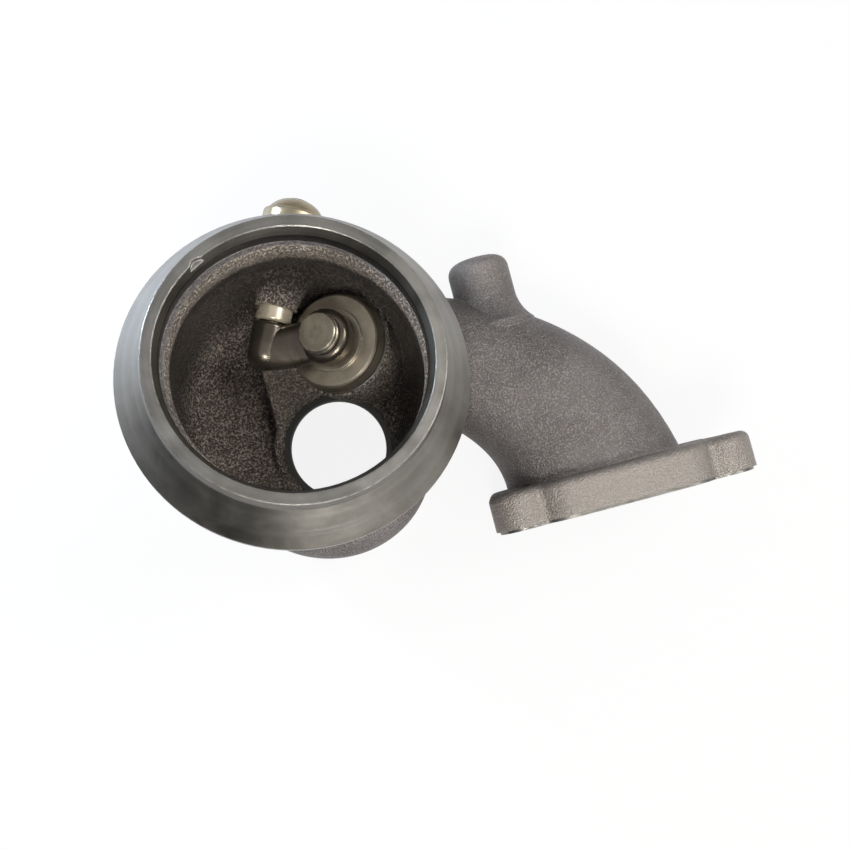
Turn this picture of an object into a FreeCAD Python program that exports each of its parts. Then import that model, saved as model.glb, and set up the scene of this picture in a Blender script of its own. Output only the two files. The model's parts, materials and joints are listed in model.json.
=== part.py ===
"""Turbine housing of a small turbocharger, with its built-in wastegate.

One casting holds the inlet flange and duct, the shrinking scroll, the outlet cup and its
conical clamp ring. In the cup a poppet on a swinging arm covers the wastegate port; the arm's
spindle leaves through a pressed bushing and carries the crank lever outside.

Frame, in millimetres: origin on the turbine axis at the face that meets the bearing housing,
+Z along the turbine axis towards the outlet, -Y the way the inlet flange faces.
"""
import FreeCAD, Part
import math
import os

V = FreeCAD.Vector
UP = V(0, 0, 1)

# Casting
wall = 4.5                     # thickness of every cast wall
outlet_wall = 4.9              # wall of the outlet cup

# Turbine wheel space, along the turbine axis
pilot_radius = 22.5            # bore that centres the bearing housing
pilot_depth = 12.0
back_flange_radius = 31.0
back_flange_thick = 10.0
back_flange_chamfer = 1.0
nozzle_low = 14.0              # lower and upper edge of the slot that feeds the wheel
nozzle_high = 20.0
wheel_radius = 20.8            # wall round the wheel tips
exducer_radius = 14.8          # bore that the gas leaves the wheel through
exducer_top = 40.0             # height of the collar round the exducer
exducer_flare = 1.4            # how much the bore opens near its mouth
exducer_flare_depth = 6.5
exducer_rim_radius = 17.6      # top of the cast bevel round the mouth
exducer_rim_depth = 2.5
collar_radius = 19.2
bore_clear_top = 52.0          # the cup's wall stays clear of the bore up to here
mound_left = -16.4             # X of the edge of the raised casting beside the exducer
mound_right = 8.0
mound_length = 34.0
mound_draft = 1.4              # how much its foot spreads
mound_round = 1.5
hub_radius = 25.0
back_bolt_count = 6
back_bolt_circle = 27.0        # radius of the circle that the threaded holes lie on
back_thread_radius = 2.5
back_thread_depth = 8.0

# Scroll: a round passage that shrinks as it goes round the wheel
scroll_throat = 21.5           # radius at which the passage opens towards the wheel
scroll_start = 90.0            # degrees round the axis where the duct hands over
scroll_end = 345.0
scroll_radius = 8.75           # radius of the passage where it starts
scroll_shrink = 0.0275         # loss of that radius with each degree
scroll_rise = 0.95             # how far the centre stands over the nozzle, as a share of its radius
scroll_steps = 9

# Inlet duct and flange
flange_face = -38.2            # Y of the machined inlet face
flange_thick = 12.2
flange_middle_x = 80.9
flange_middle_z = 28.0
flange_lobe_half_x = 29.5      # the long lobe over the port
flange_lobe_half_z = 26.0
flange_lobe_corner = 13.0
flange_ear_radius = 9.0
inlet_bolt_near_x = 64.2       # spacing of the two bolts on the +Z side
inlet_bolt_far_x = 57.4        # and of the two on the -Z side
inlet_bolt_spacing_z = 28.0
inlet_bolt_radius = 4.3
flange_valley = 3.0            # concave rounding between ear and lobe
flange_back_round = 2.6        # rounded cast edge at the flange's back
inlet_land_height = 0.9        # machined land that stands on the cast flange
inlet_land_inset = 1.1
duct_start_x = 75.2            # where the duct's centreline leaves the flange
duct_lean = 7.1                # degrees that it leans towards -X there
duct_pull_start = 39.8         # how far the centreline keeps its first direction
duct_pull_end = 22.0           # and its last
duct_half_x = 27.7             # half width of the duct at the flange
duct_flare = 2.4               # how much its foot spreads inside the flange
duct_narrowing = 0.894         # power of the narrowing from flange to scroll
duct_middle_z = 28.0           # height of the duct at the flange
duct_half_z = 20.0             # half height of the duct at the flange
duct_square = 2.5              # how square its section starts; 2 is an ellipse
duct_steps = 8
duct_buried = 9.0              # how deep the outside of the duct sits in the flange

# Blind cast boss on top of the duct
stub_x = 56.7
stub_z = 29.0
stub_radius = 9.7
stub_end = 47.3
stub_foot = 8.0
stub_round = 4.0
stub_flare = 3.8
stub_flare_start = 25.2
stub_flare_length = 10.0

# Outlet cup and clamp ring, about an axis of their own
outlet_centre = V(-5.7, 20.0, 75.8)   # centre of the ring's widest edge
outlet_tilt = 12.8             # degrees between the outlet axis and the turbine axis
outlet_azimuth = 56.2          # direction of that tilt, from +X
ring_radius = 48.0             # widest edge of the clamp ring
ring_land = 1.2
ring_back = 5.0                # depth of the clamp cone behind the edge
ring_back_radius = 42.4
cone_top_radius = 40.05        # where the sealing cone meets the lip
cone_top = 12.0
lip_radius = 39.55
lip_top = 15.6
mouth_radius = 35.05           # machined bore of the mouth
mouth_low = 9.3
mouth_chamfer_low = 12.4
mouth_chamfer_radius = 36.5
cup_radius = 35.4              # cast inside of the cup
cup_shift = 1.25               # how far the cast inside lies off the machined mouth's axis
cup_shift_azimuth = 300.0
shoulder_radius = 33.8         # rounded cast shoulder under the machined mouth
shoulder_round = 1.0
shoulder_height = 5.4
cup_depth = 42.5
cup_floor_z = 33.0
cup_corner = 24.0
notch_angle = 122.0            # small notch in the lip's inner edge
notch_radius = 2.6
notch_reach = 0.7
notch_depth = 1.6

# Wastegate port, valve and arm
seat_centre = V(8.3, 28.7, 50.6)
valve_tilt = 24.4              # degrees between the valve's stem and the turbine axis
valve_azimuth = 154.0
port_radius = 10.4
port_length = 30.0
port_boss_radius = 15.6
port_boss_length = 26.0
seat_land_radius = 14.9
seat_land_height = 0.6
swing_clear_radius = 16.6      # spot-faced room round the valve
swing_clear_height = 9.0
seat_gap = 0.1                 # shut valve to seat
disc_radius = 14.0             # top edge of the valve
disc_rim_radius = 14.8
disc_thick = 5.0
disc_edge = 0.6
disc_rim_height = 1.5
disc_flank_height = 3.6
disc_hub_radius = 9.4
disc_hub_height = 1.0
stem_radius = 3.6
stem_head_radius = 5.8         # riveted end of the stem over the washer
stem_head_thick = 1.2
washer_radius = 6.1
washer_thick = 1.4
washer_chamfer = 0.3
washer_room = 0.4              # radial room of the spot face that the washer lies in
eye_radius = 8.0
eye_thick = 6.4
eye_round = 2.1
eye_play = 0.3                 # free height above and below the eye
running_play = 0.06            # radial clearance of a turning fit
arm_reach = 17.8               # stem to spindle, square to the spindle
arm_skew = 5.0                 # how far along the spindle the elbow lies behind the stem
spindle_height = 10.3          # spindle axis over the seat
elbow_radius = 5.5
elbow_below = 7.2
elbow_above = 6.4
elbow_round = 4.6              # rounding of the elbow's blind end
elbow_edge = 1.0               # and of its end beside the bushing
neck_half_width = 6.6
neck_half_height = 3.5
neck_square = 3.0              # how flat the neck's top and bottom are; 2 is an ellipse
neck_shift = 1.3               # how far the neck's middle lies towards the blind end
neck_sink = 0.6                # how far the neck's ends stay inside elbow and eye
swing_open = 40.0              # degrees that the arm opens
spindle_radius = 3.3
spindle_chamfer = 0.4

# Bushing and outside lever, measured along the spindle from the elbow
bushing_radius = 5.2
bushing_start = 7.0
bushing_edge = 0.6
bushing_proud = 1.0            # how far it stands out of the cast boss
boss_radius = 8.3
boss_nose_radius = 6.2         # narrow end of the boss inside the cup
boss_start = 11.2
boss_flare_radius = 15.0       # where its foot runs into the cup's wall
boss_flare_length = 13.5
boss_waist_height = 0.61       # the foot's narrow part, as a share of its length
boss_waist_spread = 0.32       # and how much of its flare it has there
boss_proud = 8.6               # how far the boss stands out of the cup's wall
lever_gap = 1.8                # bushing to lever
lever_thick = 3.2
lever_hub_radius = 9.4
lever_hub_edge = 2.0           # height of the hub's grey rim under its dome
lever_hub_step = 0.6
lever_hub_height = 6.9
lever_hub_top = 4.2            # radius where the dome ends round the spindle
lever_eye_radius = 6.8
lever_length = 24.0
lever_round = 0.9
seal_ring_thick = 1.2
seal_ring_radius = 5.9
spindle_proud = 0.5
pin_radius = 3.0
pin_reach = 6.4
pin_head_radius = 4.6
pin_head_thick = 1.6
pin_shank_radius = 2.6
pin_groove = 0.5               # depth of the clip groove
pin_groove_width = 0.9
pin_groove_back = 1.6

# Directions that follow from the angles above
def direction(tilt, azimuth):
    """Unit vector leaning by tilt degrees from +Z towards azimuth."""
    lean, turn = math.radians(tilt), math.radians(azimuth)
    return V(math.sin(lean) * math.cos(turn), math.sin(lean) * math.sin(turn), math.cos(lean))


def around(angle, radius=1.0, z=0.0):
    """Point at an angle and radius about the turbine axis."""
    turn = math.radians(angle)
    return V(radius * math.cos(turn), radius * math.sin(turn), z)


outlet_axis = direction(outlet_tilt, outlet_azimuth)
valve_axis = direction(valve_tilt, valve_azimuth)
spindle_axis = around(valve_azimuth - 90.0)
arm_side = valve_axis.cross(spindle_axis)
valve_base = seat_centre + valve_axis * seat_gap
elbow_centre = (seat_centre + valve_axis * spindle_height + arm_side * arm_reach
                - spindle_axis * arm_skew)
outlet_middle = outlet_centre + outlet_axis * (elbow_centre - outlet_centre).dot(outlet_axis)
elbow_along = (elbow_centre - outlet_middle).dot(spindle_axis)
elbow_across = (elbow_centre - outlet_middle - spindle_axis * elbow_along).Length
wall_crossing = math.sqrt((cup_radius + outlet_wall) ** 2 - elbow_across ** 2) - elbow_along
boss_end = wall_crossing + boss_proud
bushing_end = boss_end + bushing_proud
lever_start = bushing_end + lever_gap
flange_back = flange_face + flange_thick


def scroll_passage(angle):
    """Radius of the scroll passage at an angle round the turbine axis."""
    return scroll_radius - scroll_shrink * (angle - scroll_start)


def scroll_centre(angle):
    """Centre of the scroll passage at an angle round the turbine axis."""
    radius = scroll_passage(angle)
    middle = (nozzle_low + nozzle_high) / 2
    return around(angle, scroll_throat + radius, middle + scroll_rise * radius)


def duct_line(share):
    """Point and direction of the duct's centreline, seen along the turbine axis."""
    end = scroll_centre(scroll_start)
    end.z = 0.0
    first = V(duct_start_x, flange_back, 0)
    line = Part.BezierCurve()
    line.setPoles([first, first + around(90 + duct_lean) * duct_pull_start,
                   end + around(scroll_start - 90) * duct_pull_end, end])
    return line.value(share), line.tangent(share)[0]


def placed(shape, centre, axis, across=None):
    """Shape built about the origin and +Z, moved to a centre and axis."""
    if across is None:
        turn = FreeCAD.Rotation(UP, axis)
    else:
        turn = FreeCAD.Rotation(across, axis.cross(across), axis, "ZXY")
    moved = shape.copy()
    moved.Placement = FreeCAD.Placement(centre, turn)
    return moved


def rod(centre, axis, radius, start, end):
    """Round bar along an axis, between two distances from the centre."""
    return Part.makeCylinder(radius, end - start, centre + axis * start, axis)


def turned(outline):
    """Solid of revolution about +Z from (radius, height) points.

    An entry of three numbers pairs is an arc: its middle and its end point.
    """
    edges = []
    last = outline[0]
    for entry in outline[1:]:
        if isinstance(entry[0], tuple):
            middle, end = entry
            points = [V(r, 0, z) for r, z in (last, middle, end)]
            edges.append(Part.Arc(*points).toShape())
        else:
            end = entry
            edges.append(Part.makeLine(V(last[0], 0, last[1]), V(end[0], 0, end[1])))
        last = end
    edges.append(Part.makeLine(V(last[0], 0, last[1]), V(outline[0][0], 0, outline[0][1])))
    return Part.Face(Part.Wire(edges)).revolve(V(0, 0, 0), UP, 360)


def oval(centre, across, along, half_across, half_along, power=2.0, count=16):
    """Closed smooth section; a power over 2 makes it squarer."""
    points = []
    for step in range(count):
        turn = 2 * math.pi * step / count
        x, y = math.cos(turn), math.sin(turn)
        u = math.copysign(abs(x) ** (2 / power), x)
        v = math.copysign(abs(y) ** (2 / power), y)
        points.append(centre + across * (half_across * u) + along * (half_along * v))
    curve = Part.BSplineCurve()
    curve.interpolate(points, PeriodicFlag=True)
    return Part.Wire([curve.toShape()])


def duct(thinner, buried, flare):
    """Inlet duct, from the flange to the scroll; thinner shrinks every section."""
    end_centre = scroll_centre(scroll_start)
    end_radius = scroll_passage(scroll_start) + wall
    sections = []
    for step in range(duct_steps + 1):
        share = step / duct_steps
        point, along = duct_line(share)
        half = duct_half_x + (end_radius - duct_half_x) * share ** duct_narrowing - thinner
        height = duct_half_z + (end_radius - duct_half_z) * share ** 1.3 - thinner
        level = duct_middle_z + (end_centre.z - duct_middle_z) * share ** 1.6
        power = duct_square + (2 - duct_square) * share
        if not sections:
            start = V(duct_start_x, flange_back - buried, level)
            sections.append(oval(start, V(1, 0, 0), UP, half + flare, height + flare, power))
        across = V(along.y, -along.x, 0).normalize()
        sections.append(oval(point + UP * level, across, UP, half, height, power))
    return Part.makeLoft(sections, True, False)


def scroll(thicker):
    """Scroll as a tube that shrinks round the turbine axis; thicker adds to its radius."""
    sections = []
    for step in range(scroll_steps):
        angle = scroll_start + (scroll_end - scroll_start) * step / (scroll_steps - 1)
        radius = scroll_passage(angle) + thicker
        sections.append(oval(scroll_centre(angle), around(angle), UP, radius, radius))
    return Part.makeLoft(sections, True, False)


def above(height):
    """Large block over a height, to trim shapes at a level."""
    size = 400.0
    return Part.makeBox(size, size, size, V(-size / 2, -size / 2, height))


def outlet_cup():
    """Outlet cup with its cast shoulder, machined mouth, sealing cone and clamp ring."""
    outside = cup_radius + outlet_wall
    bottom = -cup_depth - outlet_wall
    corner = cup_corner + outlet_wall
    outer = turned([
        (0, 0), (0, bottom), (outside - corner, bottom),
        ((outside - corner * 0.293, bottom + corner * 0.293), (outside, bottom + corner)),
        (outside, -ring_back), (ring_back_radius, -ring_back), (ring_radius, -ring_land),
        (ring_radius, 0), (cone_top_radius, cone_top), (lip_radius, lip_top), (0, lip_top)])
    low = -cup_depth
    rise = mouth_low - shoulder_height
    mouth = turned([
        (0, lip_top), (mouth_chamfer_radius, lip_top), (mouth_radius, mouth_chamfer_low),
        (mouth_radius, mouth_low), (0, mouth_low)])
    inner = turned([
        (0, mouth_low), (shoulder_radius + shoulder_round, mouth_low),
        ((shoulder_radius + 0.3 * shoulder_round, shoulder_height + 0.72 * rise),
         (shoulder_radius, shoulder_height)),
        ((shoulder_radius + 0.3 * (cup_radius - shoulder_radius), shoulder_height - rise),
         (cup_radius, -ring_back)),
        (cup_radius, low + cup_corner),
        ((cup_radius - cup_corner * 0.293, low + cup_corner * 0.293), (cup_radius - cup_corner, low)),
        (0, low)])
    notch = rod(around(notch_angle, mouth_chamfer_radius + notch_reach - notch_radius), UP,
                notch_radius, lip_top - notch_depth, lip_top)
    low = cup_floor_z - outlet_wall
    shell = placed(outer, outlet_centre, outlet_axis).common(above(low))
    shell = shell.fuse(rod(V(0, 0, 0), UP, exducer_rim_radius + wall, low, bore_clear_top))
    sideways = around(cup_shift_azimuth)
    sideways = (sideways - outlet_axis * sideways.dot(outlet_axis)).normalize()
    hollow = placed(inner, outlet_centre + sideways * cup_shift, outlet_axis)
    hollow = hollow.common(above(cup_floor_z))
    return shell.cut([hollow, placed(mouth, outlet_centre, outlet_axis),
                      placed(notch, outlet_centre, outlet_axis),
                      rod(V(0, 0, 0), UP, exducer_rim_radius, low, bore_clear_top)])


def floor_mound():
    """Raised, drafted casting on the cup's floor, between the exducer and the port boss."""
    wires = []
    for level, spread in ((cup_floor_z - wall, mound_draft), (exducer_top, 0.0)):
        left, right, end = mound_left - spread, mound_right + spread, mound_length + spread
        corners = [V(left, 0, level), V(right, 0, level), V(right, end, level),
                   V(left, end, level)]
        wires.append(Part.makePolygon(corners + corners[:1]))
    mound = Part.makeLoft(wires, True, True)
    crest = [e for e in mound.Edges
             if all(abs(v.Z - exducer_top) < 1e-6 and v.X < 0 for v in e.Vertexes)]
    return mound.makeFillet(mound_round, crest)


def wheel_hub():
    """Back flange, hub and exducer collar as one turned form."""
    edge = back_flange_chamfer
    return turned([
        (0, 0), (back_flange_radius - edge, 0), (back_flange_radius, edge),
        (back_flange_radius, back_flange_thick), (hub_radius, back_flange_thick + edge),
        (hub_radius, cup_floor_z - wall), (collar_radius + edge, cup_floor_z),
        (collar_radius, exducer_top - edge), (collar_radius - edge, exducer_top),
        (0, exducer_top)])


def wheel_space():
    """Pilot bore, nozzle slot, wheel contour and exducer bore, to be cut."""
    slot = scroll_throat + 2.5
    mouth = exducer_radius + exducer_flare
    return turned([
        (0, -1), (pilot_radius, -1), (pilot_radius, pilot_depth), (scroll_throat, pilot_depth),
        (scroll_throat, nozzle_low), (slot, nozzle_low), (slot, nozzle_high),
        (wheel_radius, nozzle_high),
        ((exducer_radius + 1.6, nozzle_high + 3.2), (exducer_radius, nozzle_high + 8.0)),
        (exducer_radius, exducer_top - exducer_flare_depth),
        (mouth, exducer_top - exducer_rim_depth), (exducer_rim_radius, exducer_top),
        (exducer_rim_radius, exducer_top + 1), (0, exducer_top + 1)])


def is_valley(shape, edge):
    """True when a cast edge is concave, so more than half of the room round it is filled."""
    middle = edge.valueAt((edge.FirstParameter + edge.LastParameter) / 2)
    reach, count, tolerance = 0.5, 24, 1e-4
    along = edge.tangentAt(edge.FirstParameter)
    across = along.cross(UP).normalize()
    up = across.cross(along)
    filled = 0
    for step in range(count):
        turn = 2 * math.pi * step / count
        probe = middle + across * (reach * math.cos(turn)) + up * (reach * math.sin(turn))
        filled += shape.isInside(probe, tolerance, False)
    return filled > 0.6 * count


def inlet_bolt_middles():
    """Centres of the four inlet bolts on the flange face."""
    half = inlet_bolt_spacing_z / 2
    return [V(flange_middle_x + side * spacing / 2, flange_face, flange_middle_z + level)
            for spacing, level in ((inlet_bolt_near_x, half), (inlet_bolt_far_x, -half))
            for side in (-1, 1)]


def flange_plate(inset, start, end):
    """Flange outline as a plate: a long lobe over the port and two pairs of bolt ears."""
    thick = end - start
    half_x, half_z = flange_lobe_half_x - inset, flange_lobe_half_z - inset
    lobe = Part.makeBox(2 * half_x, thick, 2 * half_z,
                        V(flange_middle_x - half_x, start, flange_middle_z - half_z))
    upright = [e for e in lobe.Edges if abs(e.tangentAt(e.FirstParameter).y) > 0.9]
    plate = lobe.makeFillet(flange_lobe_corner - inset, upright)
    ears = [Part.makeCylinder(flange_ear_radius - inset, thick, V(m.x, start, m.z), V(0, 1, 0))
            for m in inlet_bolt_middles()]
    beyond = flange_ear_radius - flange_valley - inset
    corners = [m + V(math.copysign(beyond, m.x - flange_middle_x), start - flange_face, 0)
               for m in inlet_bolt_middles()]
    corners = [corners[0], corners[1], corners[3], corners[2], corners[0]]
    ears.append(Part.Face(Part.makePolygon(corners)).extrude(V(0, thick, 0)))
    plate = plate.fuse(ears).removeSplitter()
    valleys = [e for e in plate.Edges
               if abs(e.tangentAt(e.FirstParameter).y) > 0.9 and is_valley(plate, e)]
    return plate.makeFillet(flange_valley, valleys)


def inlet_flange():
    """Cast flange with the machined land that carries the gasket."""
    land_back = flange_face + inlet_land_height
    cast = flange_plate(0, land_back, flange_back)
    rim = [e for e in cast.Edges if all(abs(v.Y - flange_back) < 1e-6 for v in e.Vertexes)]
    cast = cast.makeFillet(flange_back_round, rim)
    return cast.fuse(flange_plate(inlet_land_inset, flange_face, land_back))


def duct_stub():
    """Blind cast boss on the duct, with a domed edge and a flared foot."""
    flare = stub_radius + stub_flare
    end_round = stub_round * 0.293
    boss = turned([
        (0, stub_foot), (flare, stub_foot), (flare, stub_flare_start),
        ((stub_radius + 0.29 * stub_flare, stub_flare_start + 0.4 * stub_flare_length),
         (stub_radius, stub_flare_start + stub_flare_length)),
        (stub_radius, stub_end - stub_round),
        ((stub_radius - end_round, stub_end - end_round), (stub_radius - stub_round, stub_end)),
        (0, stub_end)])
    return placed(boss, V(stub_x, 0, stub_z), V(0, 1, 0))


def port_boss():
    """Boss under the wastegate seat, with the raised seat land."""
    low = seat_land_height
    return rod(seat_centre, valve_axis, port_boss_radius, -port_boss_length, -low).fuse(
        rod(seat_centre, valve_axis, seat_land_radius, -low - seat_land_height, 0))


def spindle_boss():
    """Boss round the spindle's bushing: plain outside the cup, with a wide cast foot inside."""
    low, high = boss_start, boss_start + boss_flare_length
    waist = low + boss_waist_height * boss_flare_length
    waist_radius = boss_nose_radius + boss_waist_spread * (boss_flare_radius - boss_nose_radius)
    boss = rod(elbow_centre, spindle_axis, boss_radius, waist, boss_end)
    foot = turned([(0, low), (boss_nose_radius, low),
                   ((waist_radius, waist), (boss_flare_radius, high)), (0, high)])
    inside = placed(turned([(0, -cup_depth), (cup_radius + outlet_wall / 2, -cup_depth),
                            (cup_radius + outlet_wall / 2, 0), (0, 0)]),
                    outlet_centre, outlet_axis)
    return boss.fuse(placed(foot, elbow_centre, spindle_axis).common(inside))


def passages():
    """Everything that is cut from the casting."""
    cutters = [duct(wall, flange_thick + 1.0, 0.0), scroll(0), wheel_space()]
    cutters.append(rod(seat_centre, valve_axis, port_radius, -port_length, 1.0))
    cutters.append(rod(elbow_centre, spindle_axis, bushing_radius,
                       boss_start - 1.0, boss_end + 1.0))
    for middle in inlet_bolt_middles():
        cutters.append(rod(middle, V(0, 1, 0), inlet_bolt_radius, -1.0, flange_thick + 1.0))
    for index in range(back_bolt_count):
        place = around(360.0 * (index + 0.5) / back_bolt_count, back_bolt_circle)
        cutters.append(rod(place, UP, back_thread_radius, -1.0, back_thread_depth))
    return cutters


def turbine_housing():
    """The casting: outside forms joined, then the passages cut."""
    shell = outlet_cup().cut(rod(seat_centre, valve_axis, swing_clear_radius, 0,
                                 swing_clear_height))
    body = duct(0, duct_buried, duct_flare).fuse([
        scroll(wall), wheel_hub(), shell, floor_mound(), inlet_flange(), duct_stub(),
        port_boss(), spindle_boss()])
    return body.cut(passages())


def spindle_bushing():
    """Pressed bushing that the arm's spindle turns in."""
    bore = spindle_radius + running_play
    edge = bushing_edge
    tube = turned([
        (bore, bushing_start), (bushing_radius - edge, bushing_start),
        (bushing_radius, bushing_start + edge), (bushing_radius, bushing_end - edge),
        (bushing_radius - edge, bushing_end), (bore, bushing_end)])
    return placed(tube, elbow_centre, spindle_axis)


def wastegate_arm():
    """Arm: eye for the valve stem, neck, rounded elbow and spindle in one piece."""
    elbow = rod(elbow_centre, spindle_axis, elbow_radius, -elbow_below, elbow_above)
    for edge in [e for e in elbow.Edges if e.Closed]:
        blind = (edge.CenterOfMass - elbow_centre).dot(spindle_axis) < 0
        elbow = elbow.makeFillet(elbow_round if blind else elbow_edge, [edge])
    tip = lever_start + lever_hub_height + spindle_proud
    spindle = rod(elbow_centre, spindle_axis, spindle_radius, 0, tip)
    spindle = spindle.makeChamfer(spindle_chamfer, [e for e in spindle.Edges if e.Closed])
    eye_low = disc_thick + disc_hub_height + eye_play
    eye_middle = valve_base + valve_axis * (eye_low + eye_thick / 2)
    eye = rod(eye_middle, valve_axis, eye_radius, -eye_thick / 2, eye_thick / 2)
    eye = eye.makeFillet(eye_round, [e for e in eye.Edges if e.Closed])
    neck_middle = (elbow_centre + eye_middle) * 0.5 - spindle_axis * neck_shift
    neck = Part.makeLoft([
        oval(elbow_centre - spindle_axis * neck_shift, spindle_axis, valve_axis,
             neck_half_width - neck_sink, elbow_radius - neck_sink, neck_square),
        oval(neck_middle, spindle_axis, valve_axis, neck_half_width, neck_half_height,
             neck_square),
        oval(eye_middle, spindle_axis, valve_axis, neck_half_width, eye_thick / 2 - neck_sink,
             neck_square)], True, False)
    arm = elbow.fuse([spindle, eye, neck])
    bore = rod(eye_middle, valve_axis, stem_radius + running_play, -eye_thick, eye_thick)
    spot_face = rod(eye_middle, valve_axis, washer_radius + washer_room, eye_thick / 2,
                    eye_thick)
    return arm.cut([bore, spot_face])


def valve_poppet():
    """Valve disc with its hub step and the stem that carries it."""
    top, edge = disc_thick, disc_edge
    hub = top + disc_hub_height
    head = hub + eye_thick + 2 * eye_play + washer_thick
    end = head + stem_head_thick
    disc = turned([
        (0, 0), (disc_rim_radius - edge, 0), (disc_rim_radius, edge),
        (disc_rim_radius, disc_rim_height), (disc_radius, disc_flank_height),
        (disc_radius, top - edge), (disc_radius - edge, top), (disc_hub_radius, top),
        (disc_hub_radius, hub), (stem_radius, hub), (stem_radius, head),
        (stem_head_radius, head), (stem_head_radius, end - washer_chamfer),
        (stem_head_radius - washer_chamfer, end), (0, end)])
    return placed(disc, valve_base, valve_axis)


def poppet_washer():
    """Washer riveted on the stem over the arm's eye."""
    low = disc_thick + disc_hub_height + eye_thick + 2 * eye_play
    top = low + washer_thick
    edge = washer_chamfer
    ring = turned([
        (stem_radius, low), (washer_radius - edge, low), (washer_radius, low + edge),
        (washer_radius, top - edge), (washer_radius - edge, top), (stem_radius, top)])
    return placed(ring, valve_base, valve_axis)


def spindle_seal():
    """Flat ring on the spindle between the bushing and the lever."""
    middle = (bushing_end + lever_start) / 2
    start, end = middle - seal_ring_thick / 2, middle + seal_ring_thick / 2
    return rod(elbow_centre, spindle_axis, seal_ring_radius, start, end).cut(
        rod(elbow_centre, spindle_axis, spindle_radius, start, end))


def lever_eye_centre():
    """Point on the crank pin's axis level with the arm's elbow."""
    return elbow_centre - UP * lever_length


def crank_lever():
    """Flat lever with a domed hub, from the spindle to the crank pin."""
    lean = math.asin((lever_hub_radius - lever_eye_radius) / lever_length)
    start = spindle_axis * lever_start
    side = spindle_axis.cross(UP)
    corners = []
    for sign in (1, -1):
        ends = [(elbow_centre, lever_hub_radius), (lever_eye_centre(), lever_eye_radius)]
        for centre, radius in ends[::sign]:
            corners.append(centre + start + side * (sign * radius * math.cos(lean))
                           - UP * (radius * math.sin(lean)))
    web = Part.Face(Part.makePolygon(corners + corners[:1])).extrude(spindle_axis * lever_thick)
    end = lever_start + lever_thick
    plate = web.fuse([
        rod(elbow_centre, spindle_axis, lever_hub_radius, lever_start, end),
        rod(lever_eye_centre(), spindle_axis, lever_eye_radius, lever_start, end)])
    plate = plate.removeSplitter()
    rims = [e for e in plate.Edges if abs(e.tangentAt(e.FirstParameter).dot(spindle_axis)) < 0.5]
    plate = plate.makeFillet(lever_round, rims)
    low, top = lever_start + lever_hub_edge, lever_start + lever_hub_height
    foot = lever_hub_radius - lever_hub_step
    hub = turned([
        (0, lever_start), (lever_hub_radius, lever_start), (lever_hub_radius, low), (foot, low),
        ((foot * 0.8, low + 0.62 * (top - low)), (lever_hub_top, top)), (0, top)])
    plate = plate.fuse(placed(hub, elbow_centre, spindle_axis))
    return plate.cut([
        rod(elbow_centre, spindle_axis, spindle_radius, lever_start - 1.0, top + 1.0),
        rod(lever_eye_centre(), spindle_axis, pin_shank_radius, lever_start - 1.0, end + 1.0)])


def crank_pin():
    """Riveted pin that the actuator rod hooks on, with a groove for its clip."""
    low = lever_start - pin_head_thick
    out = lever_start + lever_thick
    tip = out + pin_reach
    edge = pin_groove
    groove = tip - pin_groove_back
    pin = turned([
        (0, low), (pin_head_radius - edge, low), (pin_head_radius, low + edge),
        (pin_head_radius, lever_start), (pin_shank_radius, lever_start),
        (pin_shank_radius, out), (pin_radius, out), (pin_radius, groove - pin_groove_width),
        (pin_radius - edge, groove - pin_groove_width), (pin_radius - edge, groove),
        (pin_radius, groove), (pin_radius, tip - edge), (pin_radius - edge, tip), (0, tip)])
    return placed(pin, lever_eye_centre(), spindle_axis)


def main():
    os.makedirs("parts", exist_ok=True)
    makers = (turbine_housing, spindle_bushing, spindle_seal, wastegate_arm, valve_poppet,
              poppet_washer, crank_lever, crank_pin)
    for maker in makers:
        shape = maker()
        if shape.ShapeType == "Compound" and len(shape.Solids) == 1:
            shape = shape.Solids[0]
        shape.exportStep("parts/" + maker.__name__ + ".step")


if __name__ == "__main__":
    main()
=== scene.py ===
"""Looks of the turbine housing: cast skin, machined cone, wastegate parts, floor, lights, camera.

Everything is in metres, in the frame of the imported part: origin on the turbine axis at the
face that meets the bearing housing, +Z towards the outlet, -Y the way the inlet flange faces.
"""
import json
import math
import bpy
from mathutils import Matrix, Vector


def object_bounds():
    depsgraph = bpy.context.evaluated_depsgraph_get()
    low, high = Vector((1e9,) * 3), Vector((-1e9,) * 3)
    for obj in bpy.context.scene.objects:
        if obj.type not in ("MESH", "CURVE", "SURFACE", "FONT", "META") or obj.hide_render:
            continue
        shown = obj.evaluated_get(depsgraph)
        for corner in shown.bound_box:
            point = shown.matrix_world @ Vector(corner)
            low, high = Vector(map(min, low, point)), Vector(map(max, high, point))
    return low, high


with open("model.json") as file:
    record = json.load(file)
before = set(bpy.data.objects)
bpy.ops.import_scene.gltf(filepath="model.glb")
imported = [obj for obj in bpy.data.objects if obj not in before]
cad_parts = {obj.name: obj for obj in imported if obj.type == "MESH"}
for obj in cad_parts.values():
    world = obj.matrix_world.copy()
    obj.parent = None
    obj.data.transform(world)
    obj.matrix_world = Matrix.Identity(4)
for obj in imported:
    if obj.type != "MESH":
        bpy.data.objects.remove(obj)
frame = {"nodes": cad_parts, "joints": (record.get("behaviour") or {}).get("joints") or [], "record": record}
cad_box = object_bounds()
cad = frame["nodes"]
swing, spin = frame["joints"]
mounts = {m["name"]: m for m in frame["record"]["mounts"]}

# Axes of the turned surfaces, read from the record
ring_centre = Vector(mounts["clamp_ring"]["pos_m"])
ring_axis = Vector(mounts["clamp_ring"]["axis"])
spindle_centre = Vector(swing["pos_m"])
spindle_axis = Vector(mounts["crank_pin"]["axis"])
valve_centre = Vector(spin["pos_m"])
valve_axis = Vector(spin["axis"])

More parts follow.
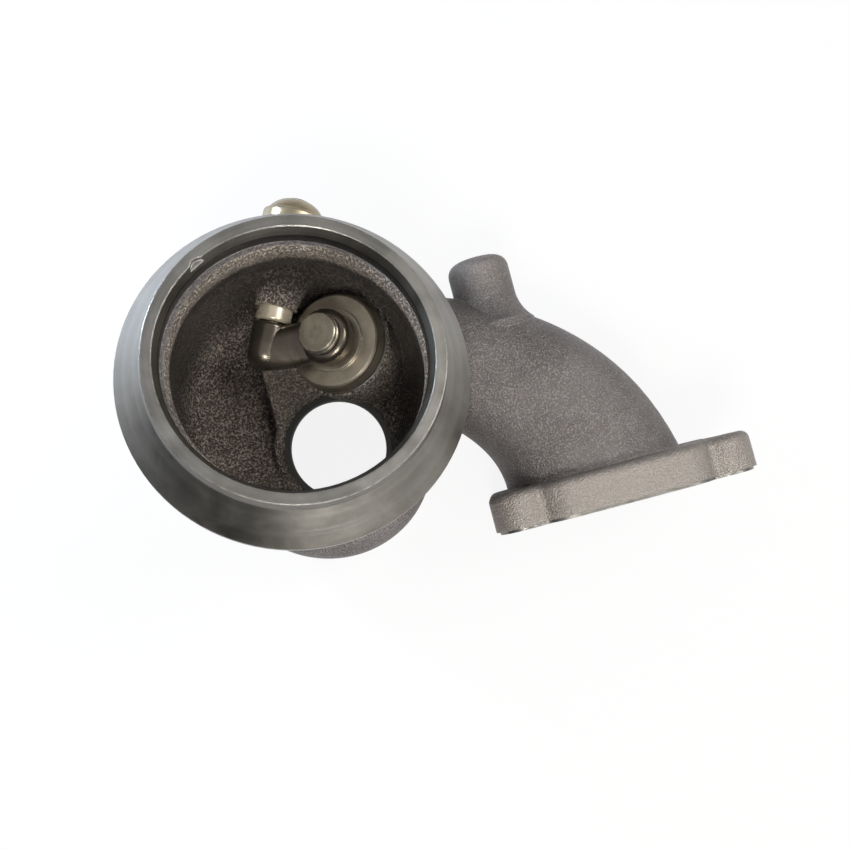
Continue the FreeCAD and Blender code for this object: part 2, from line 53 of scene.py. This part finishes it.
# Places of the machined surfaces, read from the record
mouth_place = mounts["outlet_mouth"]
mouth_radius = mouth_place["dims"]["r_mm"] / 1000
mouth_height = (Vector(mouth_place["pos_m"]) - ring_centre).dot(ring_axis)
mouth_low = mouth_height - mouth_place["dims"]["length_mm"] / 2000
wheel_bore_radius = mounts["turbine_bore"]["dims"]["r_mm"] / 1000
pilot_radius = mounts["bearing_pilot"]["dims"]["r_mm"] / 1000
pilot_depth = mounts["bearing_pilot"]["dims"]["length_mm"] / 1000
inlet_face_y = mounts["inlet_face"]["pos_m"][1]

# How far the turned, bored and milled surfaces reach from those places
band_clear = 0.0002
step_clear = 0.00006             # the step under the mouth's band stays cast
cone_reach = 0.0145              # past the cone's widest edge
cone_low = -0.0052
lip_width = 0.003
throat_wall, throat_top = 0.0024, 0.0376
collar_wall, collar_top = 0.0065, 0.0285
pilot_wall, pilot_end = 0.0004, 0.0001
groove_inner, groove_outer, groove_top = 0.008, 0.0088, 0.0099
seat_radius, seat_sink = 0.0151, 0.0004
milled_depth = 0.00095

# The cup's hollow: its axis lies a little beside the ring's, and its corner is wide
cup_centre = ring_centre + Vector((0.0006, -0.0011, 0.00013))
cup_corner = 0.024
cup_flat = 0.0114
cup_corner_height = -0.0185
half_wall = 0.0024

# Painted shade inside the cup, coloured darker: steep wall, boss root, ditch by the mound (the mound's
# painted shadow)
steep_inner, steep_outer = 0.0285, 0.0335
steep_top, steep_full = mouth_low - 0.0055, mouth_low - 0.0085
root_outer, root_inner = 0.0175, 0.0145
root_start, root_full = 0.0115, 0.0185
mound_left, mound_foot, mound_top = -0.0164, 0.0375, 0.0395
ditch_width, ditch_edge, ditch_lap = 0.0065, 0.0005, 0.0004
ditch_start, ditch_full = -0.016, -0.004

# Painted light: the mound's top and the shoulder under the mouth are coloured lighter
mound_outer, mound_inner, mound_limit = 0.029, 0.024, 0.0425
boss_side, boss_clear = 0.01, 0.005
shoulder_low, shoulder_high = mouth_low - 0.0075, mouth_low - 0.0045

# Painted light: the outside is coloured paler at the inlet flange; the duct's far side is also coloured a
# little paler
flange_pale_end, flange_pale_start = inlet_face_y + 0.014, inlet_face_y + 0.009
far_pale_start, far_pale_full = 0.03, 0.045
duct_start_x = ring_centre.x + 0.04


# Node helpers
def add(tree, kind, inputs=(), **settings):
    """New node with its settings, and inputs given as values or as sockets to link."""
    new = tree.nodes.new("ShaderNode" + kind)
    for name, value in settings.items():
        setattr(new, name, value)
    for key, value in dict(inputs).items():
        if isinstance(value, bpy.types.NodeSocket):
            tree.links.new(value, new.inputs[key])
        else:
            new.inputs[key].default_value = value
    return new


def maths(tree, operation, a, b):
    return add(tree, "Math", {0: a, 1: b}, operation=operation).outputs[0]


def vectors(tree, operation, a, b=(0, 0, 0)):
    new = add(tree, "VectorMath", {0: a, 1: b}, operation=operation)
    scalar = operation in ("DOT_PRODUCT", "LENGTH")
    return new.outputs["Value" if scalar else "Vector"]


def scaled(tree, vector, factor):
    return add(tree, "VectorMath", {0: vector, "Scale": factor},
               operation="SCALE").outputs["Vector"]


def ramp(tree, value, low, high, to_low=0.0, to_high=1.0):
    """Value mapped smoothly from one range to another, clamped."""
    return add(tree, "MapRange", {"Value": value, "From Min": low, "From Max": high,
                                  "To Min": to_low, "To Max": to_high},
               interpolation_type="SMOOTHSTEP").outputs["Result"]


def mixed(tree, factor, a, b):
    """Colour a turning into colour b."""
    return add(tree, "Mix", {0: factor, 6: a, 7: b}, data_type="RGBA").outputs[2]


def noise(tree, where, scale, detail=2.0, roughness=0.5, distortion=0.0):
    return add(tree, "TexNoise", {"Vector": where, "Scale": scale, "Detail": detail,
                                  "Roughness": roughness,
                                  "Distortion": distortion}).outputs["Fac"]


def tone(r, g, b):
    """Colour from 0 to 255 sRGB values, as linear light."""
    def linear(c):
        c /= 255.0
        return c / 12.92 if c <= 0.04045 else ((c + 0.055) / 1.055) ** 2.4
    return (linear(r), linear(g), linear(b), 1.0)


def new_group(name, inputs, outputs):
    """Node group with named sockets; inputs carry their default values."""
    tree = bpy.data.node_groups.new(name, "ShaderNodeTree")
    for label, default in inputs.items():
        kind = "NodeSocketVector" if isinstance(default, tuple) else "NodeSocketFloat"
        socket = tree.interface.new_socket(label, in_out="INPUT", socket_type=kind)
        socket.default_value = default
    for label in outputs:
        tree.interface.new_socket(label, in_out="OUTPUT", socket_type="NodeSocketFloat")
    source = tree.nodes.new("NodeGroupInput")
    target = tree.nodes.new("NodeGroupOutput")
    return tree, source.outputs, target.inputs


def place(tree, group, **values):
    """A node group placed in a material, with its own values or linked sockets."""
    new = tree.nodes.new("ShaderNodeGroup")
    new.node_tree = group
    for label, value in values.items():
        socket = new.inputs[label.replace("_", " ")]
        if isinstance(value, bpy.types.NodeSocket):
            tree.links.new(value, socket)
        else:
            socket.default_value = value
    return new.outputs


def give(tree, result, **values):
    """Values linked to a group's outputs of the same names."""
    for label, value in values.items():
        tree.links.new(value, result[label])


# Masks
def over(tree, value, limit):
    return maths(tree, "GREATER_THAN", value, limit)


def under(tree, value, limit):
    return maths(tree, "LESS_THAN", value, limit)


def both(tree, *masks):
    """Where all masks hold."""
    total = masks[0]
    for mask in masks[1:]:
        total = maths(tree, "MULTIPLY", total, mask)
    return total


def either(tree, *masks):
    """Where one mask holds at least."""
    total = masks[0]
    for mask in masks[1:]:
        total = maths(tree, "MAXIMUM", total, mask)
    return total


def partly(tree, mask, share):
    return maths(tree, "MULTIPLY", mask, share)


# Shared effects
def make_axis_frame():
    """Height along an axis and radius from it, in metres."""
    tree, given, result = new_group(
        "axis_frame", {"Centre": (0.0, 0.0, 0.0), "Axis": (0.0, 0.0, 1.0)},
        ("Height", "Radius"))
    where = add(tree, "TexCoord").outputs["Object"]
    arm = vectors(tree, "SUBTRACT", where, given["Centre"])
    height = vectors(tree, "DOT_PRODUCT", arm, given["Axis"])
    out = vectors(tree, "SUBTRACT", arm, scaled(tree, given["Axis"], height))
    give(tree, result, Height=height, Radius=vectors(tree, "LENGTH", out))
    return tree


def make_cast_grain():
    """Blasted cast skin: leathery grains, fine tips (painted glints inside the cup, smoother spots
    everywhere) and slow stains.
    """
    tree, given, result = new_group(
        "cast_grain", {"Grains per metre": 2000.0}, ("Height", "Ridge", "Fleck", "Stain"))
    where = add(tree, "TexCoord").outputs["Object"]
    scale = given["Grains per metre"]
    fine = noise(tree, where, scale, 3.0, 0.6)
    cells = add(tree, "TexVoronoi", {"Vector": where, "Scale": scale, "Randomness": 1.0},
                feature="SMOOTH_F1").outputs["Distance"]
    slow = noise(tree, where, 210.0, 2.0, 0.5)
    height = maths(tree, "SUBTRACT", fine, partly(tree, cells, 0.7))
    height = maths(tree, "ADD", height, partly(tree, slow, 0.8))
    tips = add(tree, "TexVoronoi", {"Vector": where, "Randomness": 1.0,
                                    "Scale": maths(tree, "MULTIPLY", scale, 1.7)})
    pick = add(tree, "SeparateColor", {0: tips.outputs["Color"]}).outputs[0]
    fleck = both(tree, ramp(tree, pick, 0.5, 0.92),
                 ramp(tree, tips.outputs["Distance"], 0.55, 0.15))
    leather = maths(tree, "SUBTRACT", fine, partly(tree, cells, 0.35))
    give(tree, result, Height=height, Ridge=ramp(tree, leather, 0.32, 0.5), Fleck=fleck,
         Stain=noise(tree, where, 42.0, 5.0, 0.6))
    return tree


def make_turning_marks():
    """Fine rings left by a lathe tool, about an axis through a centre."""
    tree, given, result = new_group(
        "turning_marks", {"Centre": (0.0, 0.0, 0.0), "Axis": (0.0, 0.0, 1.0),
                          "Marks per metre": 2600.0}, ("Height", "Ring", "Smudge"))
    where = add(tree, "TexCoord").outputs["Object"]
    height, radius = place(tree, axis_frame, Centre=given["Centre"], Axis=given["Axis"])
    wander = maths(tree, "MULTIPLY", noise(tree, where, 30.0, 1.0), 0.0006)
    run = maths(tree, "ADD", maths(tree, "ADD", height, maths(tree, "MULTIPLY", radius, 0.8)),
                wander)
    marks = add(tree, "TexNoise", {"W": run, "Scale": given["Marks per metre"], "Detail": 2.0,
                                   "Roughness": 0.6}, noise_dimensions="1D").outputs["Fac"]
    bands = add(tree, "TexNoise", {"W": run, "Scale": 420.0, "Detail": 2.0},
                noise_dimensions="1D").outputs["Fac"]
    give(tree, result, Height=marks, Ring=bands,
         Smudge=noise(tree, where, 75.0, 5.0, 0.62, 0.4))
    return tree


def make_cut_places():
    """Masks of the casting's cut surfaces: turned ring and mouth, bores, milled inlet face."""
    tree, given, result = new_group("cut_places", {}, ("Ring", "Mouth", "Bore", "Face"))
    place_y = add(tree, "SeparateXYZ",
                  {0: add(tree, "TexCoord").outputs["Object"]}).outputs["Y"]
    height, radius = place(tree, axis_frame, Centre=tuple(ring_centre), Axis=tuple(ring_axis))
    level, out = place(tree, axis_frame, Centre=(0.0, 0.0, 0.0), Axis=(0.0, 0.0, 1.0))
    lift, away = place(tree, axis_frame, Centre=tuple(valve_centre), Axis=tuple(valve_axis))

    above_step = over(tree, height, mouth_low + step_clear)
    cone = both(tree, over(tree, height, cone_low), over(tree, radius, mouth_radius + lip_width))
    ring = both(tree, under(tree, radius, mouth_radius + cone_reach),
                either(tree, above_step, cone))
    mouth = both(tree, under(tree, radius, mouth_radius + band_clear), above_step)

    throat = both(tree, under(tree, out, wheel_bore_radius + throat_wall),
                  under(tree, level, throat_top))
    collar = both(tree, under(tree, out, wheel_bore_radius + collar_wall),
                  under(tree, level, collar_top))
    pilot = both(tree, under(tree, out, pilot_radius + pilot_wall),
                 under(tree, level, pilot_depth + pilot_end))
    groove = both(tree, under(tree, level, groove_top),
                  over(tree, out, pilot_radius + groove_inner),
                  under(tree, out, pilot_radius + groove_outer))
    back = under(tree, level, band_clear)
    seat = both(tree, over(tree, lift, -seat_sink), under(tree, away, seat_radius),
                under(tree, lift, band_clear))
    give(tree, result, Ring=ring, Mouth=mouth,
         Bore=either(tree, throat, collar, pilot, groove, back, seat),
         Face=under(tree, place_y, inlet_face_y + milled_depth))
    return tree


def make_cup_places():
    """Masks of the cup's cast hollow, and of its painted shade and painted light."""
    tree, given, result = new_group("cup_places", {}, ("Inside", "Dark", "Bright"))
    place_x, place_y, level = add(
        tree, "SeparateXYZ", {0: add(tree, "TexCoord").outputs["Object"]}).outputs
    height, radius = place(tree, axis_frame, Centre=tuple(ring_centre), Axis=tuple(ring_axis))
    drop, reach = place(tree, axis_frame, Centre=tuple(cup_centre), Axis=tuple(ring_axis))
    along, beside = place(tree, axis_frame, Centre=tuple(spindle_centre),
                          Axis=tuple(spindle_axis))

    corner = add(tree, "CombineXYZ", {
        0: maths(tree, "MAXIMUM", maths(tree, "SUBTRACT", reach, cup_flat), 0.0),
        1: maths(tree, "MINIMUM", maths(tree, "SUBTRACT", drop, cup_corner_height), 0.0),
        2: 0.0}).outputs[0]
    below_mouth = under(tree, height, mouth_low)
    inside = both(tree, under(tree, vectors(tree, "LENGTH", corner), cup_corner + half_wall),
                  below_mouth)

    # Painted shade: steep wall, boss root, and the ditch as the mound's shadow
    steep = both(tree, ramp(tree, radius, steep_inner, steep_outer),
                 ramp(tree, height, steep_top, steep_full))
    root = both(tree, ramp(tree, beside, root_outer, root_inner),
                ramp(tree, along, root_start, root_full))
    ditch = both(tree, ramp(tree, place_x, mound_left - ditch_width, mound_left - ditch_edge),
                 under(tree, place_x, mound_left + ditch_lap),
                 ramp(tree, level, mound_top, mound_foot),
                 ramp(tree, place_y, ditch_start, ditch_full))
    # Painted light: the mound's top and the shoulder are coloured lighter
    mound = both(tree, ramp(tree, level, mound_foot, mound_top),
                 over(tree, place_x, mound_left), ramp(tree, radius, mound_outer, mound_inner),
                 under(tree, level, mound_limit), ramp(tree, along, boss_side, boss_clear))
    shoulder = both(tree, ramp(tree, height, shoulder_low, shoulder_high), below_mouth)
    give(tree, result, Inside=inside,
         Dark=either(tree, partly(tree, steep, 0.75), partly(tree, root, 0.7),
                     partly(tree, ditch, 0.6)),
         Bright=either(tree, mound, partly(tree, shoulder, 0.8)))
    return tree


def make_pale_places():
    """Mask of painted light at the inlet flange, and of a weakly paler duct's far side."""
    tree, given, result = new_group("pale_places", {}, ("Pale",))
    place_x, place_y, level = add(
        tree, "SeparateXYZ", {0: add(tree, "TexCoord").outputs["Object"]}).outputs
    pale = maths(tree, "ADD", ramp(tree, place_y, flange_pale_end, flange_pale_start),
                 ramp(tree, place_y, far_pale_start, far_pale_full, 0.0, 0.35))
    give(tree, result, Pale=both(tree, pale, over(tree, place_x, duct_start_x)))
    return tree


def make_edge_wear():
    """Mask of outside edges, from how far a rounded normal leaves the true one."""
    tree, given, result = new_group("edge_wear", {"Rounded": (0.0, 0.0, 1.0)}, ("Mask",))
    where = add(tree, "TexCoord").outputs["Object"]
    true = add(tree, "NewGeometry").outputs["Normal"]
    turn = maths(tree, "SUBTRACT", 1.0, vectors(tree, "DOT_PRODUCT", given["Rounded"], true))
    give(tree, result, Mask=both(tree, ramp(tree, turn, 0.01, 0.12),
                                 ramp(tree, noise(tree, where, 600.0, 2.0), 0.3, 0.6)))
    return tree


axis_frame = make_axis_frame()
cast_grain = make_cast_grain()
turning_marks = make_turning_marks()
cut_places = make_cut_places()
cup_places = make_cup_places()
pale_places = make_pale_places()
edge_wear = make_edge_wear()


# Materials
def new_material(name):
    made = bpy.data.materials.new(name)
    made.use_nodes = True
    tree = made.node_tree
    return made, tree, tree.nodes["Principled BSDF"]


def bump(tree, height, distance, strength, onto):
    return add(tree, "Bump", {"Height": height, "Distance": distance, "Strength": strength,
                              "Normal": onto}).outputs["Normal"]


def rounded_edges(tree, radius):
    """Normal with rounded edges, and the mask of those edges."""
    rounded = add(tree, "Bevel", {"Radius": radius}, samples=4).outputs["Normal"]
    return rounded, place(tree, edge_wear, Rounded=rounded)["Mask"]


def outside_skin(tree, grain):
    """Colour of the blasted casting outside, with painted light at the inlet flange and a paler duct's far
    side.
    """
    pale = place(tree, pale_places)["Pale"]
    skin = mixed(tree, ramp(tree, grain["Stain"], 0.3, 0.7),
                 tone(84, 80, 79), tone(104, 100, 99))
    # Painted light: paler at the inlet flange, and a little on the duct's far side
    skin = mixed(tree, partly(tree, pale, 0.7), skin, tone(146, 139, 131))
    return mixed(tree, partly(tree, grain["Ridge"], 0.2), skin, tone(200, 195, 190))


def cup_skin(tree, grain, cup):
    """Colour of the casting inside the cup, with painted light, painted glints and painted shade."""
    cup_tone = mixed(tree, ramp(tree, grain["Stain"], 0.3, 0.7),
                  tone(84, 76, 71), tone(108, 99, 92))
    # Painted light on the mound's top and the shoulder
    cup_tone = mixed(tree, partly(tree, cup["Bright"], 0.4), cup_tone, tone(176, 166, 154))
    cup_tone = mixed(tree, partly(tree, grain["Ridge"], 0.85), cup_tone, tone(226, 213, 199))
    # Painted glints: the fine tips are coloured near white
    cup_tone = mixed(tree, partly(tree, grain["Fleck"], 0.8), cup_tone, tone(236, 226, 214))
    # Painted shade: steep wall, boss root and the mound's shadow are coloured near black
    return mixed(tree, cup["Dark"], cup_tone, tone(32, 30, 28))


def cut_iron(tree, about_ring, cut, edges):
    """Colour of the turned and milled iron, with painted shade in the mouth's bore."""
    bare = mixed(tree, ramp(tree, about_ring["Smudge"], 0.3, 0.72),
                 tone(112, 109, 103), tone(136, 133, 127))
    band = ramp(tree, about_ring["Ring"], 0.35, 0.7)
    bare = mixed(tree, partly(tree, band, 0.3), bare, tone(148, 147, 143))
    # Painted shade: the mouth's bore is coloured dark
    bare = mixed(tree, partly(tree, cut["Mouth"], 0.75), bare, tone(58, 58, 61))
    return mixed(tree, partly(tree, edges, 0.45), bare, tone(214, 212, 207))


def casting_skin():
    """Blasted iron with its turned ring, turned bores and milled inlet face."""
    made, tree, shader = new_material("casting_skin")
    cut = place(tree, cut_places)
    cup = place(tree, cup_places)
    grain = place(tree, cast_grain,
                  Grains_per_metre=ramp(tree, cup["Inside"], 0.0, 1.0, 2000.0, 1550.0))
    rounded, edges = rounded_edges(tree, 0.0006)
    about_ring = place(tree, turning_marks, Centre=tuple(ring_centre), Axis=tuple(ring_axis),
                       Marks_per_metre=2400.0)
    about_bore = place(tree, turning_marks, Centre=(0.0, 0.0, 0.0), Axis=(0.0, 0.0, 1.0),
                       Marks_per_metre=2400.0)
    across_face = place(tree, turning_marks, Centre=(0.08, inlet_face_y, -0.2),
                        Axis=(0.0, 1.0, 0.0), Marks_per_metre=700.0)
    any_cut = either(tree, cut["Ring"], cut["Bore"], cut["Face"])

    skin = mixed(tree, cup["Inside"], outside_skin(tree, grain), cup_skin(tree, grain, cup))
    skin = mixed(tree, partly(tree, edges, 0.35), skin, tone(196, 191, 186))
    bare = cut_iron(tree, about_ring, cut, edges)
    tree.links.new(mixed(tree, any_cut, skin, bare), shader.inputs["Base Color"])

    rough = ramp(tree, grain["Fleck"], 0.0, 1.0, 0.46, 0.28)
    smooth = ramp(tree, about_ring["Smudge"], 0.3, 0.75, 0.3, 0.42)
    rough = add(tree, "Mix", {0: any_cut, 2: rough, 3: smooth}).outputs[0]
    tree.links.new(rough, shader.inputs["Roughness"])
    tree.links.new(ramp(tree, any_cut, 0.0, 1.0, 0.6, 0.95), shader.inputs["Metallic"])

    marks = both(tree, about_ring["Height"], cut["Ring"])
    for turned, where in ((about_bore, "Bore"), (across_face, "Face")):
        marks = maths(tree, "ADD", marks, both(tree, turned["Height"], cut[where]))
    cast = both(tree, grain["Height"], ramp(tree, cup["Inside"], 0.0, 1.0, 0.35, 1.9))
    relief = add(tree, "Mix", {0: any_cut, 2: cast, 3: partly(tree, marks, 0.035)}).outputs[0]
    tree.links.new(bump(tree, relief, 0.0009, 1.0, rounded), shader.inputs["Normal"])
    return made


def turned_metal(name, centre, axis, dark, light, rough=0.3, metal=0.85, marks=2600.0,
                 depth=0.00003):
    """Turned metal with tool rings, smudges and bright edges."""
    made, tree, shader = new_material(name)
    turned = place(tree, turning_marks, Centre=tuple(centre), Axis=tuple(axis),
                   Marks_per_metre=marks)
    rounded, edges = rounded_edges(tree, 0.00035)
    colour = mixed(tree, ramp(tree, turned["Smudge"], 0.3, 0.7), dark, light)
    band = ramp(tree, turned["Ring"], 0.4, 0.7)
    colour = mixed(tree, partly(tree, band, 0.25), colour, light)
    colour = mixed(tree, partly(tree, edges, 0.6), colour, tone(225, 221, 212))
    tree.links.new(colour, shader.inputs["Base Color"])
    tree.links.new(ramp(tree, turned["Smudge"], 0.3, 0.75, rough - 0.05, rough + 0.1),
                   shader.inputs["Roughness"])
    shader.inputs["Metallic"].default_value = metal
    tree.links.new(bump(tree, turned["Height"], depth, 0.7, rounded), shader.inputs["Normal"])
    return made


cast_skin = casting_skin()
arm_metal = turned_metal("arm_metal", spindle_centre, spindle_axis, tone(80, 74, 66),
                         tone(108, 101, 90), rough=0.25, marks=700.0, depth=0.00002)
valve_metal = turned_metal("valve_metal", valve_centre, valve_axis, tone(124, 117, 103),
                           tone(164, 155, 138))
# Painted highlight: this metal, shared by the bushing, seal and crank pin, is coloured pale so the bushing's
# ring reads lit
bushing_metal = turned_metal("bushing_metal", spindle_centre, spindle_axis,
                             tone(188, 178, 156), tone(226, 218, 198), metal=0.6)
lever_metal = turned_metal("lever_metal", spindle_centre, spindle_axis, tone(132, 118, 94),
                           tone(170, 158, 134))

finishes = {
    "turbine_housing": cast_skin, "spindle_bushing": bushing_metal,
    "spindle_seal": bushing_metal, "wastegate_arm": arm_metal, "valve_poppet": valve_metal,
    "poppet_washer": valve_metal, "crank_lever": lever_metal, "crank_pin": bushing_metal}
for node_name, finish in finishes.items():
    slots = cad[node_name].data.materials
    slots.clear()
    slots.append(finish)


# Floor, light and camera
def seen_white(tree, mirrored=0.12):
    """How white the background is: fully to the camera, partly in the metal's reflections."""
    path = add(tree, "LightPath").outputs
    direct = maths(tree, "MAXIMUM", path["Is Camera Ray"], path["Is Transmission Ray"])
    glossy = maths(tree, "MULTIPLY", path["Is Glossy Ray"], mirrored)
    return maths(tree, "MAXIMUM", direct, glossy)


def whitened(tree, shader, share):
    """Shader that turns to plain white light by a share."""
    white = add(tree, "Emission", {"Color": (1, 1, 1, 1), "Strength": 1.0}).outputs[0]
    mix = add(tree, "MixShader", {0: share, 1: shader.outputs[0], 2: white})
    tree.links.new(mix.outputs[0], tree.nodes["Material Output"].inputs["Surface"])


def make_floor():
    half, under_part = 3.0, 0.0002
    mesh = bpy.data.meshes.new("floor")
    mesh.from_pydata([(-half, -half, 0), (half, -half, 0), (half, half, 0), (-half, half, 0)],
                     [], [(0, 1, 2, 3)])
    floor = bpy.data.objects.new("floor", mesh)
    bpy.context.scene.collection.objects.link(floor)
    floor.location.z = cad_box[0][2] - under_part
    made, tree, shader = new_material("floor_white")
    shader.inputs["Base Color"].default_value = (0.62, 0.62, 0.62, 1)
    shader.inputs["Roughness"].default_value = 0.9
    shader.inputs["Specular IOR Level"].default_value = 0.0
    whitened(tree, shader, maths(tree, "MULTIPLY", seen_white(tree), 0.88))
    mesh.materials.append(made)


def make_world():
    """Soft room: bright overhead, dim towards one dark corner."""
    world = bpy.data.worlds.new("studio")
    bpy.context.scene.world = world
    world.use_nodes = True
    tree = world.node_tree
    sky = tree.nodes["Background"]
    where = add(tree, "TexCoord").outputs["Generated"]
    up = add(tree, "SeparateXYZ", {0: where}).outputs["Z"]
    shade = mixed(tree, ramp(tree, up, 0.0, 0.8), (0.26, 0.26, 0.27, 1), (0.6, 0.6, 0.61, 1))
    corner = math.radians(215)
    toward = vectors(tree, "DOT_PRODUCT", where, (math.cos(corner), math.sin(corner), -0.1))
    shade = mixed(tree, ramp(tree, toward, 0.55, 0.9), shade, (0.03, 0.03, 0.032, 1))
    tree.links.new(mixed(tree, seen_white(tree), shade, (1, 1, 1, 1)), sky.inputs["Color"])


def make_flag():
    """Upright board beyond the picture's lower left: dark in the metal, white to the camera."""
    toward, distance, half_width, board_height = math.radians(208), 0.27, 0.2, 0.26
    away = Vector((math.cos(toward), math.sin(toward), 0.0))
    along = Vector((-away.y, away.x, 0.0)) * half_width
    foot = Vector((ring_centre.x, ring_centre.y, cad_box[0][2])) + away * distance
    lift = Vector((0.0, 0.0, board_height))
    mesh = bpy.data.meshes.new("dark_flag")
    mesh.from_pydata([foot - along, foot + along, foot + along + lift, foot - along + lift],
                     [], [(0, 1, 2, 3)])
    flag = bpy.data.objects.new("dark_flag", mesh)
    bpy.context.scene.collection.objects.link(flag)
    made, tree, shader = new_material("flag_black")
    shader.inputs["Base Color"].default_value = (0.02, 0.02, 0.021, 1)
    shader.inputs["Roughness"].default_value = 0.9
    whitened(tree, shader, seen_white(tree, 0.0))
    mesh.materials.append(made)


def lamp(name, where, aim, size, power, colour):
    """Rectangular studio lamp turned to a point."""
    light = bpy.data.lights.new(name, "AREA")
    light.shape = "RECTANGLE"
    light.size, light.size_y = size
    light.energy = power
    light.color = colour
    holder = bpy.data.objects.new(name, light)
    bpy.context.scene.collection.objects.link(holder)
    holder.location = where
    holder.rotation_euler = (Vector(aim) - Vector(where)).to_track_quat("-Z", "Y").to_euler()


def make_camera():
    """Camera at the photograph's place and angle."""
    photo_width, focal_pixels = 850, 1100
    data = bpy.data.cameras.new("photo_camera")
    data.sensor_width = 36.0
    data.lens = data.sensor_width * focal_pixels / photo_width
    data.clip_start = 0.01
    camera = bpy.data.objects.new("photo_camera", data)
    bpy.context.scene.collection.objects.link(camera)
    right = Vector((0.966196, -0.253108, 0.049013))
    up = Vector((0.249400, 0.965793, 0.071019))
    back = Vector((-0.065312, -0.056395, 0.996270))
    eye = Vector((0.005359, -0.019013, 0.373522))
    turn = Matrix((right, up, back)).transposed().to_4x4()
    camera.matrix_world = Matrix.Translation(eye) @ turn
    bpy.context.scene.camera = camera


make_floor()
make_world()
make_flag()
lamp("key_right", (0.66, 0.12, 0.8), (0.0, 0.01, 0.06), (0.4, 0.4), 5.5, (1.0, 0.98, 0.95))
lamp("front_high", (-0.12, -0.38, 0.8), (-0.01, 0.01, 0.05), (0.22, 0.22), 5.0, (1.0, 0.97, 0.93))
lamp("window_left", (-0.17, 0.19, 0.14), (-0.13, 0.1, 0.0), (0.05, 0.05), 0.75, (0.66, 0.8, 1.0))
lamp("front_low", (0.1, -0.75, 0.26), (0.05, -0.02, 0.05), (0.5, 0.2), 1.5, (1.0, 0.97, 0.92))
make_camera()
bpy.context.scene.view_settings.view_transform = "Standard"
